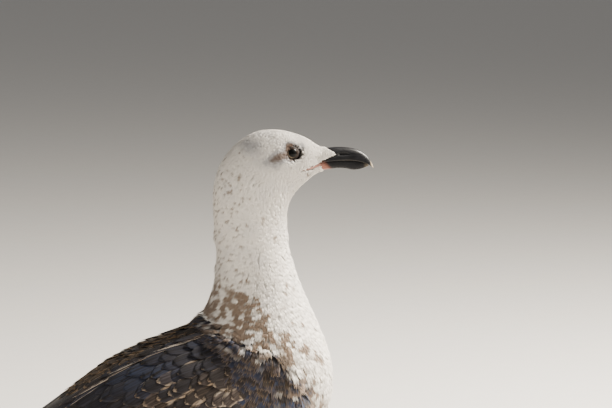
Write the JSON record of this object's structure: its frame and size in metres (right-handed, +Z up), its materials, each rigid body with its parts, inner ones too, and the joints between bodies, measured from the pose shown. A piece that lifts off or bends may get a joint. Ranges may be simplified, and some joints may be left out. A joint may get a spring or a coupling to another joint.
{
  "type": "standing gull figure",
  "caption": "Life-size still figure of a young yellow-legged gull standing upright on webbed feet, wings folded, looking ahead along its bill.",
  "frame": {"origin": "middle of the outline on the floor that the bird stands on, in its middle plane", "axes": "+X the way the bird faces, +Y its left side, +Z up"},
  "size_m": [0.4532, 0.1472, 0.4238],
  "materials": {
    "plumage_white": "soft white body feathers with brown-grey flecks",
    "plumage_wing": "brown and grey wing feathers with pale fringes",
    "flight_feather": "smooth blackish quill feathers",
    "bill_horn": "satin black horn",
    "eye": "wet and clear",
    "leg_skin": "dull flesh-pink scaled skin",
    "claw": "dark horn"
  },
  "bodies": {
    "root": {"head": "plumage_white", "neck": "plumage_white", "trunk": "plumage_white", "bill_upper": "bill_horn", "bill_lower": "bill_horn", "tail": "flight_feather", "eye_left": "eye", "wing_left": "plumage_wing", "wing_tip_left": "flight_feather", "thigh_left": "plumage_white", "leg_left": "leg_skin", "foot_left": "leg_skin", "claw_hind_left": "claw", "claw_inner_left": "claw", "claw_middle_left": "claw", "claw_outer_left": "claw", "eye_right": "eye", "wing_right": "plumage_wing", "wing_tip_right": "flight_feather", "thigh_right": "plumage_white", "leg_right": "leg_skin", "foot_right": "leg_skin", "claw_hind_right": "claw", "claw_inner_right": "claw", "claw_middle_right": "claw", "claw_outer_right": "claw"}
  },
  "joints": []
}
